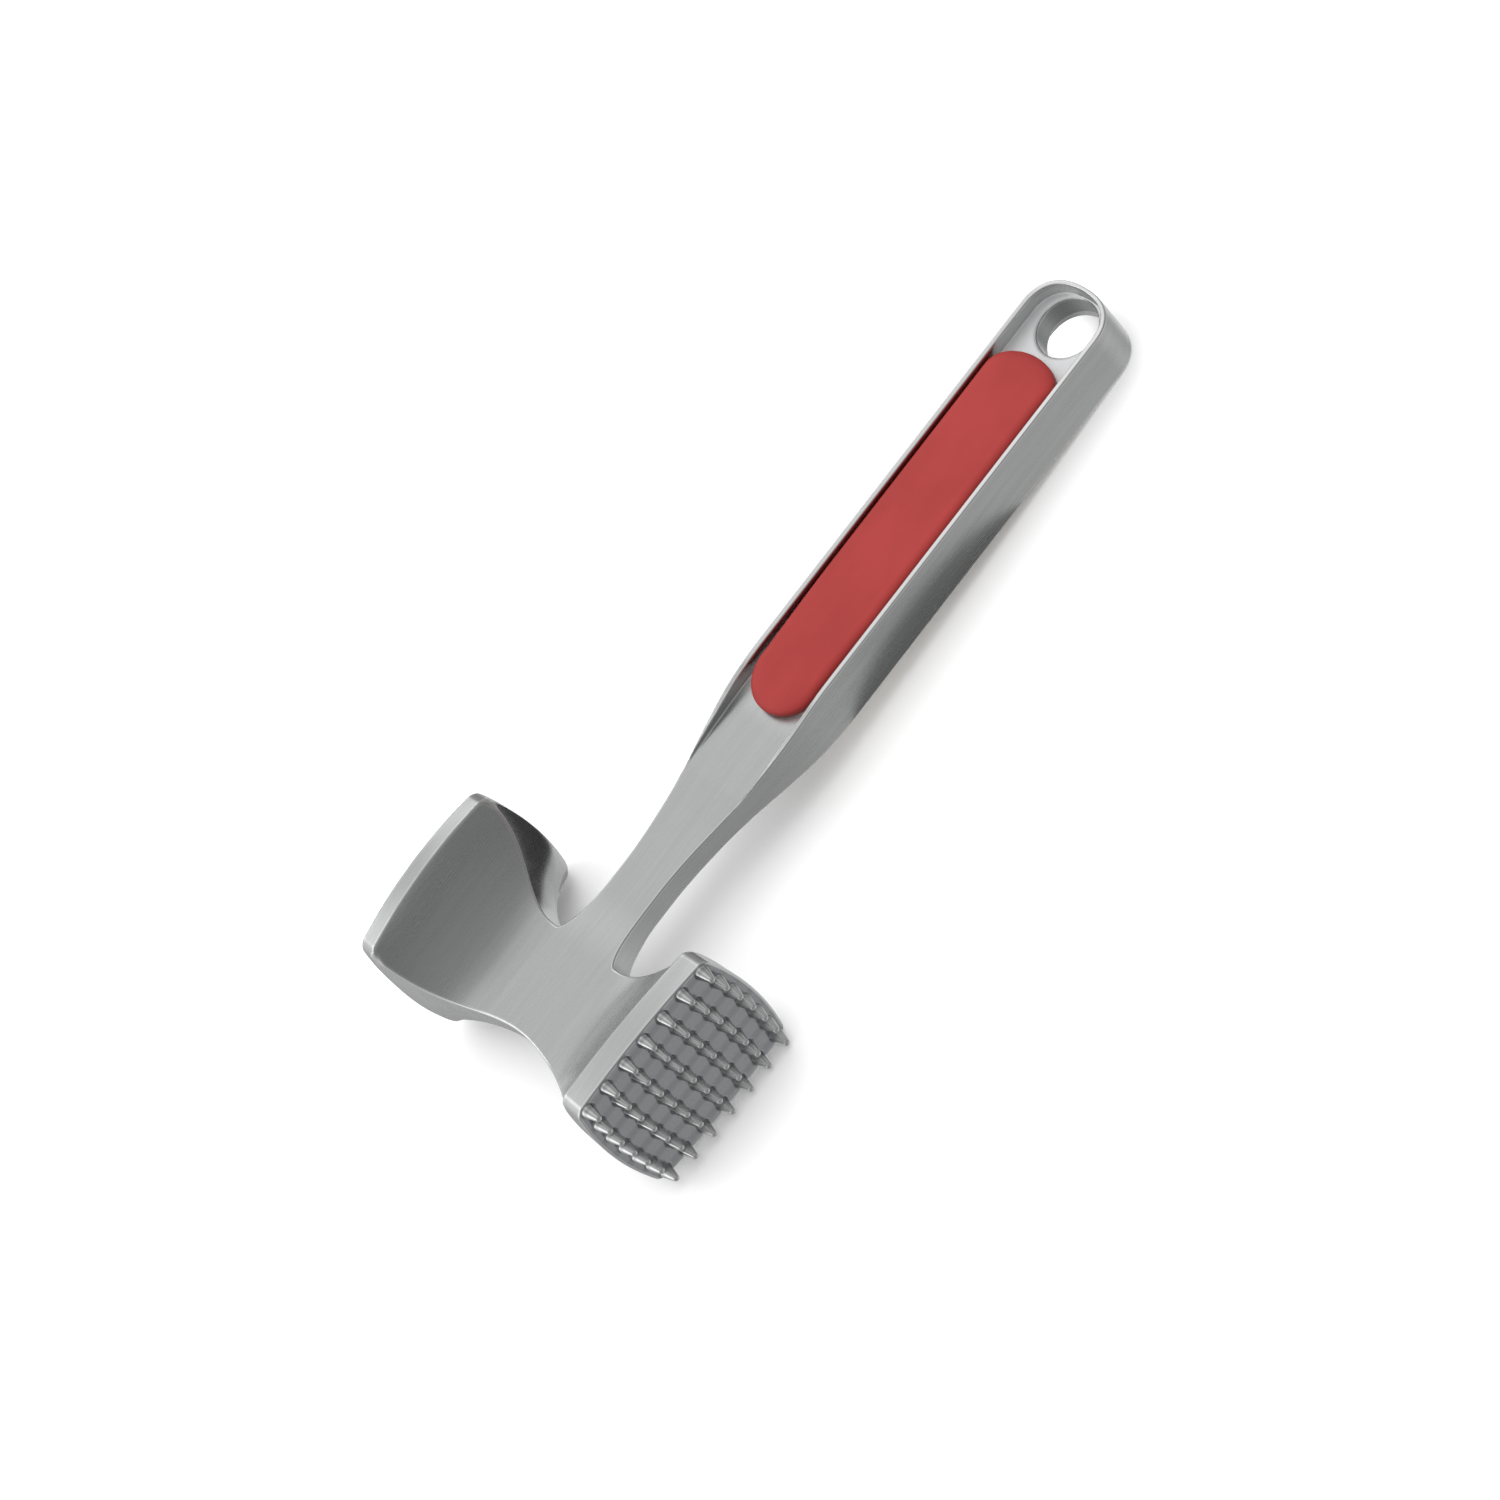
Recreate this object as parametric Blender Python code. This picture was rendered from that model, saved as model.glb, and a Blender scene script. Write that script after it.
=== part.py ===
"""Meat mallet: one aluminium casting with a soft inlay let into each side of its handle.

Axes: +X runs through the head to the toothed face, -X to the flat face, +Y runs
along the handle to its hanging hole, and Z is the thickness. The origin is the middle of the flat
face. Shapes are worked out around the middle of the head, where the axes of the head and the handle
cross, and one empty then carries them to their place.
"""
import math

import bpy
import bmesh
from mathutils import Vector

MM = 0.001

# Handle and neck
BUTT_END_Y = 226.0 * MM          # far end of the handle
BUTT_ROUND_LENGTH = 12.0 * MM    # length over which the butt rounds off
BUTT_EXPONENT = 2.4              # 2 would be an ellipse, more is squarer
TIP_MARGIN = 0.02 * MM           # the last section stops this far short of a rounded end
HANDLE_HALF_WIDTH = 14.0 * MM
HANDLE_HALF_DEPTH = 8.5 * MM
HANDLE_EDGE_RADIUS = 0.5 * MM
NECK_HALF_WIDTH = 7.9 * MM
NECK_HALF_DEPTH = 3.7 * MM
WIDTH_FLARE_Y = (33.0 * MM, 92.0 * MM)
DEPTH_FLARE_Y = (54.0 * MM, 102.0 * MM)
NECK_FILLET_WIDTH = 4.3 * MM       # the neck spreads into the head along part of an ellipse
NECK_FILLET_LENGTH = 17.0 * MM
NECK_ROOT_Y = 2.0 * MM           # where the neck starts, inside the head
ROOT_HALF_DEPTH = 4.5 * MM       # just under the thickness of the head's waist
ROOT_FADE_Y = (8.0 * MM, 26.0 * MM)
SHANK_END_Y = 108.0 * MM         # the handle keeps one width and depth from here to its butt

# Channel on both sides of the handle, and its hole
FLOOR_Z = 4.0 * MM
RIM_WIDTH = 1.65 * MM
RIM_START_WIDTH = -0.5 * MM      # below zero, so that the rim fades out on the neck
RIM_FADE_Y = (52.0 * MM, 86.0 * MM)
BUTT_RIM_WIDTH = 1.2 * MM
CHANNEL_START_Y = 50.0 * MM
HOLE_CENTRE_Y = 215.3 * MM
HOLE_RADIUS = 8.9 * MM
HOLE_CHAMFER = 0.6 * MM
CUT_HEIGHT = 12.0 * MM           # how far the cutters reach out past the handle

# Head
WAIST_HALF_DEPTH = 4.6 * MM
FLARE_START_X = 12.0 * MM        # the thickness flares outward from here
LOWER_WAIST_Y = 17.4 * MM        # half width of the waist on the side away from the handle
UPPER_WAIST_Y = 10.3 * MM        # and on the side of the handle
FACE_SLOPE = 0.034               # each face leans so that the knuckles clear the board
BAND_SLOPE = 0.046               # lean of the inner edge of each band

# Each end block: x of the inner edge, x of the face, half sizes at the corners, bulge of the sides
FLAT_BAND_X = 41.0 * MM
FLAT_FACE_X = 46.2 * MM
FLAT_CORNER_Y = 25.3 * MM
FLAT_CORNER_Z = 23.2 * MM
FLAT_BULGE_Y = 2.6 * MM
FLAT_BULGE_Z = 3.1 * MM
TOOTH_BAND_X = 39.0 * MM
TOOTH_FACE_X = 46.5 * MM
TOOTH_CORNER_Y = 24.8 * MM
TOOTH_CORNER_Z = 22.2 * MM
TOOTH_BULGE_Y = 2.6 * MM
TOOTH_BULGE_Z = 1.4 * MM
CORNER_RADIUS = 2.2 * MM
CREASE_RADIUS = 0.4 * MM
CORNER_FADE = 0.8 * MM           # the corners sharpen over this much of each flare
FACE_EDGE_INSET = 0.5 * MM
FLAT_BAND_TAPER = 0.3 * MM       # the band is this much smaller at the face, all round
TOOTH_BAND_TAPER = 0.4 * MM      # and this one is this much bigger

# Teeth
TOOTH_ROWS = 7
TOOTH_PITCH_Y = 7.43 * MM
TOOTH_PITCH_Z = 6.84 * MM
ROW_BOW = 0.065                  # the rows bow outward in the middle, like the face
COLUMN_BOW = 0.036
TOOTH_BASE_RADIUS = 2.1 * MM
TOOTH_TIP_RADIUS = 1.0 * MM
TOOTH_LENGTH = 4.9 * MM
TOOTH_ROOT = 1.0 * MM            # buried in the face
TOOTH_SIDES = 10
SHOULDER = math.sqrt(0.5)        # the round of the tip at half its turn

# Inlays and the film that holds them
GAP = 0.3 * MM
FILM_THICKNESS = 0.3 * MM
FILM_MARGIN = 1.5 * MM
INLAY_START_Y = 87.1 * MM
INLAY_END_Y = 203.9 * MM
INLAY_HALF_WIDTH = 11.9 * MM
INLAY_HEAD_REACH = 10.6 * MM      # how far its elliptical end reaches, at the head
INLAY_HOLE_REACH = 7.5 * MM       # and at the hole
INLAY_TOP_Z = 8.7 * MM
INLAY_SIDE_RADIUS = 2.3 * MM
INLAY_END_ROLL = 7.0 * MM

# Fineness of the curves
SIDE_STEPS = 6
CORNER_STEPS = 2
FLARE_STATIONS = 10
FILLET_STATIONS = 8
HANDLE_STATIONS = 24
CHANNEL_STATIONS = 14
BUTT_STATIONS = 9
OUTLINE_STEPS = 10
HOLE_SIDES = 40
ROLL_STEPS = 5


def smoothstep(value, start, end):
    t = min(max((value - start) / (end - start), 0.0), 1.0)
    return t * t * (3.0 - 2.0 * t)


def spread(start, end, count):
    return [start + (end - start) * i / (count - 1) for i in range(count)]


def remove_everything():
    for obj in list(bpy.data.objects):
        bpy.data.objects.remove(obj, do_unlink=True)


def make_material(name, colour, roughness, metallic):
    material = bpy.data.materials.new(name)
    material.use_nodes = True
    shader = material.node_tree.nodes["Principled BSDF"]
    shader.inputs["Base Color"].default_value = (*colour, 1.0)
    shader.inputs["Roughness"].default_value = roughness
    shader.inputs["Metallic"].default_value = metallic
    material.diffuse_color = (*colour, 1.0)
    return material


def loft(name, sections):
    """A closed solid through sections that all have the same number of points."""
    bm = bmesh.new()
    rings = [[bm.verts.new(point) for point in section] for section in sections]
    count = len(rings[0])
    for lower, upper in zip(rings, rings[1:]):
        for i in range(count):
            j = (i + 1) % count
            bm.faces.new((lower[i], lower[j], upper[j], upper[i]))
    bm.faces.new(rings[0])
    bm.faces.new(rings[-1])
    bmesh.ops.recalc_face_normals(bm, faces=bm.faces)
    mesh = bpy.data.meshes.new(name)
    bm.to_mesh(mesh)
    bm.free()
    obj = bpy.data.objects.new(name, mesh)
    bpy.context.scene.collection.objects.link(obj)
    return obj


def finish(obj, material, angle=math.radians(35.0)):
    obj.data.materials.append(material)
    obj.data.shade_smooth()
    obj.data.set_sharp_from_angle(angle=angle)


def hide_tool(obj):
    obj.hide_render = True
    obj.display_type = "WIRE"


def add_boolean(obj, tool, operation):
    hide_tool(tool)
    modifier = obj.modifiers.new(tool.name, "BOOLEAN")
    modifier.operation = operation
    modifier.object = tool
    modifier.solver = "EXACT"


# ---------------------------------------------------------------- head

def lower_half_y(x):
    """Half width of the head on the side away from the handle."""
    band = TOOTH_BAND_X if x > 0 else FLAT_BAND_X
    corner = TOOTH_CORNER_Y if x > 0 else FLAT_CORNER_Y
    return LOWER_WAIST_Y + (corner - LOWER_WAIST_Y) * smoothstep(abs(x), 0.0, band)


def upper_half_y(x):
    """Half width of the head on the side of the handle."""
    band = TOOTH_BAND_X if x > 0 else FLAT_BAND_X
    corner = TOOTH_CORNER_Y if x > 0 else FLAT_CORNER_Y
    t = min(max((abs(x) - FLARE_START_X) / (band - FLARE_START_X), 0.0), 1.0)
    return UPPER_WAIST_Y + (corner - UPPER_WAIST_Y) * smoothstep(t ** 1.25, 0.0, 1.0)


def half_z(x):
    """Half thickness of the head: a circular arc that leaves the waist without a step."""
    band = TOOTH_BAND_X if x > 0 else FLAT_BAND_X
    corner = TOOTH_CORNER_Z if x > 0 else FLAT_CORNER_Z
    run = band - FLARE_START_X
    rise = corner - WAIST_HALF_DEPTH
    radius = (run * run + rise * rise) / (2.0 * rise)
    along = min(max(abs(x) - FLARE_START_X, 0.0), run)
    return WAIST_HALF_DEPTH + radius - math.sqrt(radius * radius - along * along)


def bulge_share(x):
    """How much of the end block's bulge a section at x has."""
    band = TOOTH_BAND_X if x > 0 else FLAT_BAND_X
    return smoothstep(abs(x), FLARE_START_X, band)


def corner_points(radius):
    """Offsets from a square corner at (0, 0) along a rounded one, from its first side to its second."""
    points = []
    for i in range(CORNER_STEPS + 1):
        angle = math.pi / 2.0 * i / CORNER_STEPS
        points.append((radius * (math.cos(angle) - 1.0), radius * (math.sin(angle) - 1.0)))
    return points


def head_outline(top, bottom, half, radius):
    """Rounded rectangle in (y, z), from -bottom to top in y, with the points that the bulge needs."""
    quarter = corner_points(radius)
    points = []
    for z in spread(-half + radius, half - radius, SIDE_STEPS)[1:-1]:
        points.append((top, z))
    points += [(top + dy, half + dz) for dy, dz in quarter]
    for y in spread(top - radius, -bottom + radius, SIDE_STEPS)[1:-1]:
        points.append((y, half))
    points += [(-bottom - dy, half + dz) for dy, dz in reversed(quarter)]
    for z in spread(half - radius, -half + radius, SIDE_STEPS)[1:-1]:
        points.append((-bottom, z))
    points += [(-bottom - dy, -half - dz) for dy, dz in quarter]
    for y in spread(-bottom + radius, top - radius, SIDE_STEPS)[1:-1]:
        points.append((y, -half))
    points += [(top + dy, -half - dz) for dy, dz in reversed(quarter)]
    return points


def head_section(x, slope, inset=0.0, radius=CREASE_RADIUS):
    """One section of the head. Its plane leans by slope, and inset draws it in all round."""
    bulge_y = (TOOTH_BULGE_Y if x > 0 else FLAT_BULGE_Y) * bulge_share(x)
    bulge_z = (TOOTH_BULGE_Z if x > 0 else FLAT_BULGE_Z) * bulge_share(x)
    top = upper_half_y(x) - inset
    bottom = lower_half_y(x) - inset
    half = half_z(x) - inset
    middle = (top - bottom) / 2.0
    half_span = (top + bottom) / 2.0
    side = 1.0 if x > 0 else -1.0
    section = []
    for y, z in head_outline(top, bottom, half, radius):
        across = (y - middle) / half_span
        up = z / half
        new_y = y + across * bulge_y * max(1.0 - up * up, 0.0)
        new_z = z + up * bulge_z * max(1.0 - across * across, 0.0)
        section.append(Vector((x + side * slope * new_y, new_y, new_z)))
    return section


def make_head():
    """The head, lofted from the flat face to the toothed face."""
    sections = []
    flat_face = FLAT_BAND_TAPER + FACE_EDGE_INSET
    sections.append(head_section(-FLAT_FACE_X, FACE_SLOPE, flat_face, CORNER_RADIUS))
    sections.append(head_section(-FLAT_FACE_X + FACE_EDGE_INSET, FACE_SLOPE, FLAT_BAND_TAPER, CORNER_RADIUS))
    sections.append(head_section(-FLAT_BAND_X, BAND_SLOPE, 0.0, CORNER_RADIUS))
    for x in spread(-FLAT_BAND_X + CORNER_FADE, -FLARE_START_X, FLARE_STATIONS):
        sections.append(head_section(x, BAND_SLOPE * bulge_share(x)))
    sections.append(head_section(-FLARE_START_X / 2.0, 0.0))
    sections.append(head_section(FLARE_START_X / 2.0, 0.0))
    for x in spread(FLARE_START_X, TOOTH_BAND_X - CORNER_FADE, FLARE_STATIONS):
        sections.append(head_section(x, BAND_SLOPE * bulge_share(x)))
    sections.append(head_section(TOOTH_BAND_X, BAND_SLOPE, 0.0, CORNER_RADIUS))
    rim = -TOOTH_BAND_TAPER
    sections.append(head_section(TOOTH_FACE_X - FACE_EDGE_INSET, FACE_SLOPE, rim, CORNER_RADIUS))
    sections.append(head_section(TOOTH_FACE_X, FACE_SLOPE, rim + FACE_EDGE_INSET, CORNER_RADIUS))
    return loft("head_shape", sections)


def tooth_places():
    """Middle of each tooth on the face as (y, z)."""
    reach = (TOOTH_ROWS - 1) / 2.0
    places = []
    for row in range(TOOTH_ROWS):
        for column in range(TOOTH_ROWS):
            i = row - reach
            j = column - reach
            y = TOOTH_PITCH_Y * i * (1.0 + ROW_BOW * (1.0 - (j / reach) ** 2))
            z = TOOTH_PITCH_Z * j * (1.0 + COLUMN_BOW * (1.0 - (i / reach) ** 2))
            places.append((y, z))
    return places


def make_teeth():
    """All the teeth as one tool: blunt cones with rounded tips."""
    profile = [
        (-TOOTH_ROOT, TOOTH_BASE_RADIUS),
        (0.0, TOOTH_BASE_RADIUS),
        (TOOTH_LENGTH - TOOTH_TIP_RADIUS, TOOTH_TIP_RADIUS),
        (TOOTH_LENGTH - (1.0 - SHOULDER) * TOOTH_TIP_RADIUS, SHOULDER * TOOTH_TIP_RADIUS),
        (TOOTH_LENGTH, (1.0 - SHOULDER) * TOOTH_TIP_RADIUS),
    ]
    bm = bmesh.new()
    for y, z in tooth_places():
        face_x = TOOTH_FACE_X + FACE_SLOPE * y
        rings = []
        for along, radius in profile:
            ring = []
            for k in range(TOOTH_SIDES):
                angle = 2.0 * math.pi * k / TOOTH_SIDES
                point = (face_x + along, y + radius * math.cos(angle), z + radius * math.sin(angle))
                ring.append(bm.verts.new(point))
            rings.append(ring)
        for lower, upper in zip(rings, rings[1:]):
            for k in range(TOOTH_SIDES):
                n = (k + 1) % TOOTH_SIDES
                bm.faces.new((lower[k], lower[n], upper[n], upper[k]))
        bm.faces.new(rings[-1])
        bm.faces.new(list(reversed(rings[0])))
    bmesh.ops.recalc_face_normals(bm, faces=bm.faces)
    mesh = bpy.data.meshes.new("teeth_shape")
    bm.to_mesh(mesh)
    bm.free()
    obj = bpy.data.objects.new("teeth_shape", mesh)
    bpy.context.scene.collection.objects.link(obj)
    return obj


# ---------------------------------------------------------------- handle

def butt_factor(y):
    """1 along the handle, falling to 0 at the very end of the rounded butt."""
    t = min(max((y - (BUTT_END_Y - BUTT_ROUND_LENGTH)) / BUTT_ROUND_LENGTH, 0.0), 1.0)
    return (1.0 - t ** BUTT_EXPONENT) ** (1.0 / BUTT_EXPONENT)


def handle_half_width(y):
    flare = (HANDLE_HALF_WIDTH - NECK_HALF_WIDTH) * smoothstep(y, *WIDTH_FLARE_Y)
    width = NECK_HALF_WIDTH + flare
    along = min(max(1.0 - (y - UPPER_WAIST_Y) / NECK_FILLET_LENGTH, 0.0), 1.0)
    width += NECK_FILLET_WIDTH * (1.0 - math.sqrt(1.0 - along * along))
    return width * butt_factor(y)


def handle_half_depth(y):
    rise = (HANDLE_HALF_DEPTH - NECK_HALF_DEPTH) * smoothstep(y, *DEPTH_FLARE_Y)
    root = (ROOT_HALF_DEPTH - NECK_HALF_DEPTH) * (1.0 - smoothstep(y, *ROOT_FADE_Y))
    return NECK_HALF_DEPTH + rise + root


def handle_section(y):
    width = handle_half_width(y)
    depth = handle_half_depth(y)
    edge = min(HANDLE_EDGE_RADIUS, width / 2.0)
    corner = [(edge * (math.cos(a) - 1.0), edge * (math.sin(a) - 1.0))
              for a in (0.0, math.pi / 4.0, math.pi / 2.0)]
    points = [(width + dx, depth + dz) for dx, dz in corner]
    points += [(-width - dx, depth + dz) for dx, dz in reversed(corner)]
    points += [(-width - dx, -depth - dz) for dx, dz in corner]
    points += [(width + dx, -depth - dz) for dx, dz in reversed(corner)]
    return [Vector((x, y, z)) for x, z in points]


def butt_stations(end, length, count):
    """Stations that crowd together towards a rounded end."""
    return [end - length + length * math.sin(math.pi / 2.0 * i / count) for i in range(1, count)]


def make_handle():
    """The neck and handle as one solid bar, before the channels are cut."""
    root = [NECK_ROOT_Y]
    for i in range(FILLET_STATIONS):
        turn = 1.0 - math.cos(math.pi / 2.0 * i / FILLET_STATIONS)
        root.append(UPPER_WAIST_Y + NECK_FILLET_LENGTH * turn)
    shank = spread(UPPER_WAIST_Y + NECK_FILLET_LENGTH, SHANK_END_Y, HANDLE_STATIONS)
    shank.append(BUTT_END_Y - BUTT_ROUND_LENGTH)
    butt = butt_stations(BUTT_END_Y, BUTT_ROUND_LENGTH, BUTT_STATIONS) + [BUTT_END_Y - TIP_MARGIN]
    return loft("casting", [handle_section(y) for y in root + shank + butt])


def channel_half_width(y):
    rim = RIM_START_WIDTH + (RIM_WIDTH - RIM_START_WIDTH) * smoothstep(y, *RIM_FADE_Y)
    if y < BUTT_END_Y - BUTT_ROUND_LENGTH:
        return handle_half_width(y) - rim
    end = BUTT_END_Y - BUTT_RIM_WIDTH
    length = BUTT_ROUND_LENGTH - BUTT_RIM_WIDTH
    t = min(max((y - (end - length)) / length, 0.0), 1.0)
    return (HANDLE_HALF_WIDTH - rim) * (1.0 - t ** BUTT_EXPONENT) ** (1.0 / BUTT_EXPONENT)


def make_channel_tool(name, side):
    """Solid that cuts the channel on one side of the handle, down to its floor."""
    end = BUTT_END_Y - BUTT_RIM_WIDTH
    length = BUTT_ROUND_LENGTH - BUTT_RIM_WIDTH
    stations = spread(CHANNEL_START_Y, SHANK_END_Y, CHANNEL_STATIONS) + [end - length]
    stations += butt_stations(end, length, BUTT_STATIONS) + [end - TIP_MARGIN]
    sections = []
    for y in stations:
        width = channel_half_width(y)
        low = side * FLOOR_Z
        high = side * CUT_HEIGHT
        sections.append([Vector(p) for p in
                         ((-width, y, low), (width, y, low), (width, y, high), (-width, y, high))])
    return loft(name, sections)


def make_hole_tool():
    """Cylinder along Z that opens out in a chamfer at both floors of the channel."""
    profile = [
        (-CUT_HEIGHT, HOLE_RADIUS + HOLE_CHAMFER),
        (-FLOOR_Z, HOLE_RADIUS + HOLE_CHAMFER),
        (-FLOOR_Z + HOLE_CHAMFER, HOLE_RADIUS),
        (FLOOR_Z - HOLE_CHAMFER, HOLE_RADIUS),
        (FLOOR_Z, HOLE_RADIUS + HOLE_CHAMFER),
        (CUT_HEIGHT, HOLE_RADIUS + HOLE_CHAMFER),
    ]
    sections = []
    for z, radius in profile:
        ring = []
        for k in range(HOLE_SIDES):
            angle = 2.0 * math.pi * k / HOLE_SIDES
            ring.append(Vector((radius * math.cos(angle), HOLE_CENTRE_Y + radius * math.sin(angle), z)))
        sections.append(ring)
    return loft("hole_tool", sections)


def make_casting(material):
    casting = make_handle()
    add_boolean(casting, make_head(), "UNION")
    add_boolean(casting, make_teeth(), "UNION")
    add_boolean(casting, make_channel_tool("front_channel_tool", 1.0), "DIFFERENCE")
    add_boolean(casting, make_channel_tool("rear_channel_tool", -1.0), "DIFFERENCE")
    add_boolean(casting, make_hole_tool(), "DIFFERENCE")
    finish(casting, material)
    return casting


# ---------------------------------------------------------------- inlays

def inlay_outline(inset_side, inset_end):
    """Long shape with elliptical ends, drawn in by the two insets."""
    half = INLAY_HALF_WIDTH - inset_side
    hole_reach = INLAY_HOLE_REACH - inset_end / 2.0
    head_reach = INLAY_HEAD_REACH - inset_end / 2.0
    hole_centre = INLAY_END_Y - inset_end - hole_reach
    head_centre = INLAY_START_Y + inset_end + head_reach
    points = []
    for i in range(OUTLINE_STEPS + 1):
        angle = math.pi * i / OUTLINE_STEPS
        points.append((half * math.cos(angle), hole_centre + hole_reach * math.sin(angle)))
    for i in range(OUTLINE_STEPS + 1):
        angle = math.pi * i / OUTLINE_STEPS
        points.append((-half * math.cos(angle), head_centre - head_reach * math.sin(angle)))
    return points


def make_inlay(name, side, material):
    """Soft pad with rolled edges: tight along its sides, longer at its two ends."""
    base = FLOOR_Z + 2.0 * GAP + FILM_THICKNESS
    height = INLAY_TOP_Z - base
    levels = [(0.0, 0.0, 0.0)]
    for i in range(ROLL_STEPS + 1):
        angle = math.pi / 2.0 * i / ROLL_STEPS
        rise = 1.0 - math.sin(angle)
        turn = 1.0 - math.cos(angle)
        levels.append((height - INLAY_SIDE_RADIUS * rise, INLAY_SIDE_RADIUS * turn, INLAY_END_ROLL * turn))
    sections = []
    for lift, inset_side, inset_end in levels:
        z = side * (base + lift)
        sections.append([Vector((x, y, z)) for x, y in inlay_outline(inset_side, inset_end)])
    inlay = loft(name, sections)
    finish(inlay, material)
    return inlay


def make_film(name, side, material):
    """Thin adhesive film between the channel floor and the inlay."""
    bottom = side * (FLOOR_Z + GAP)
    top = side * (FLOOR_Z + GAP + FILM_THICKNESS)
    outline = inlay_outline(FILM_MARGIN, FILM_MARGIN)
    film = loft(name, [[Vector((x, y, z)) for x, y in outline] for z in (bottom, top)])
    finish(film, material)
    return film


def place_on_flat_face():
    """Moves everything along the head's axis, so that the world's origin is the middle of the flat face."""
    pieces = list(bpy.data.objects)
    head_middle = bpy.data.objects.new("head_middle", None)
    bpy.context.scene.collection.objects.link(head_middle)
    head_middle.location.x = FLAT_FACE_X
    for piece in pieces:
        piece.parent = head_middle


def main():
    remove_everything()
    aluminium = make_material("cast_aluminium", (0.42, 0.43, 0.43), 0.36, 1.0)
    front_red = make_material("red_elastomer", (0.42, 0.045, 0.04), 0.55, 0.0)
    rear_red = make_material("red_elastomer_rear", (0.42, 0.045, 0.04), 0.55, 0.0)
    front_glue = make_material("adhesive_film", (0.75, 0.73, 0.66), 0.5, 0.0)
    rear_glue = make_material("adhesive_film_rear", (0.75, 0.73, 0.66), 0.5, 0.0)
    make_casting(aluminium)
    make_inlay("front_inlay", 1.0, front_red)
    make_inlay("rear_inlay", -1.0, rear_red)
    make_film("front_adhesive_film", 1.0, front_glue)
    make_film("rear_adhesive_film", -1.0, rear_glue)
    place_on_flat_face()


main()
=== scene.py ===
"""The finished look of the meat mallet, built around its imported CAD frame.

The casting is one fine mesh taken from a formula for its surface. The inlays are rolled pads.
Shapes are worked out in millimetres around the middle of the head, where the axes of the head and
the handle cross: +X towards the toothed face, +Y towards the hanging hole and +Z out of the front
inlay. Materials, floor, lights and camera are in metres.
"""
import math

import bpy
import numpy as np
from mathutils import Matrix, Vector


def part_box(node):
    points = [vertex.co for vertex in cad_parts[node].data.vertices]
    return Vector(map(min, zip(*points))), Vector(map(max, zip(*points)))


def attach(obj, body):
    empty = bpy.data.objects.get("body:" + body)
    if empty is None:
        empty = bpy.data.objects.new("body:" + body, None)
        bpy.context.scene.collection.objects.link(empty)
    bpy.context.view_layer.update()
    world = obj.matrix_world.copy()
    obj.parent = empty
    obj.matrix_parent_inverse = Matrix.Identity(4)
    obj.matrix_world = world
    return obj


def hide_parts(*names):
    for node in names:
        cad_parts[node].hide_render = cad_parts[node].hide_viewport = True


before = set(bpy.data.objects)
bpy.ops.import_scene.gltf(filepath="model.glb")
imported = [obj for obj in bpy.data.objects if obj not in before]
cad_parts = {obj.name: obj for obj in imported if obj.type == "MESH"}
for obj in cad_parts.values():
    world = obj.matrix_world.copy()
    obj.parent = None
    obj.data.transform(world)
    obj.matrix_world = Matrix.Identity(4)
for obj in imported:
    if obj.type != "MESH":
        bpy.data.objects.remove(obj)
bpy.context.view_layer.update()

TO_MM = 1000.0
BODY = "root"
INLAY_LOW, INLAY_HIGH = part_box("front_inlay")
HEAD_MIDDLE = Vector(((INLAY_LOW.x + INLAY_HIGH.x) / 2.0, 0.0, 0.0))    # in the frame, metres

# Handle and neck
BUTT_END_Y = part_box("casting")[1].y * TO_MM
BUTT_ROUND_LENGTH = 12.0
BUTT_EXPONENT = 2.4
HANDLE_HALF_WIDTH = 14.0
HANDLE_HALF_DEPTH = 8.5
NECK_HALF_WIDTH = 7.9
NECK_HALF_DEPTH = 3.7
WIDTH_FLARE_Y = (33.0, 92.0)
DEPTH_FLARE_Y = (54.0, 102.0)
NECK_THINS_Y = (8.0, 26.0)
NECK_THINS_REACH = 8.0           # how far beyond the start of the flares the thinning fades out
HEAD_ENDS_Y = (30.0, 40.0)       # where the head's own thickness fades out along the neck
NECK_FILLET_WIDTH = 4.3
NECK_FILLET_LENGTH = 17.0

# Channels and hole
FLOOR_Z = 4.0
RIM_WIDTH = 1.65
RIM_START_WIDTH = -0.5
RIM_FADE_Y = (52.0, 86.0)
BUTT_RIM_WIDTH = 1.2
CHANNEL_START_Y = 50.0
HOLE_CENTRE_Y = 215.3
HOLE_RADIUS = 8.9
HOLE_CHAMFER = 0.6

# Head
WAIST_HALF_DEPTH = 4.6
FLARE_START_X = 12.0
LOWER_WAIST_Y = 17.4
UPPER_WAIST_Y = 10.3
UPPER_FLARE_POWER = 1.25
FACE_SLOPE = 0.034
BAND_SLOPE = 0.046
BULGE_LIMIT = -0.5               # keeps the bulges in hand outside the head
FLAT_END = {"band": 41.0, "face": 46.2, "y": 25.3, "z": 23.2,
            "bulge_y": 2.6, "bulge_z": 3.1, "taper": -0.3}
TOOTH_END = {"band": 39.0, "face": 46.5, "y": 24.8, "z": 22.2,
             "bulge_y": 2.6, "bulge_z": 1.4, "taper": 0.4}

# Teeth
TOOTH_REACH = 3                  # rows and columns on each side of the middle one
TOOTH_PITCH_Y = 7.43
TOOTH_PITCH_Z = 6.84
ROW_BOW = 0.065
COLUMN_BOW = 0.036
TOOTH_BASE_RADIUS = 2.1
TOOTH_TIP_RADIUS = 1.0
TOOTH_LENGTH = 4.9

# Rounding
EDGE_RADIUS = 0.45
CORNER_RADIUS = 2.4
CORNER_FADE = (-2.5, 0.5)        # from the start of the face band, where the corner radius grows
CREASE_RADIUS = 0.5
FACE_EDGE_RADIUS = 0.6
TOOTH_FILLET = 0.2
FLOOR_FILLET = 0.5
RIM_EDGE_RADIUS = 0.3
CHAMFER_EDGE_RADIUS = 0.3

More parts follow.
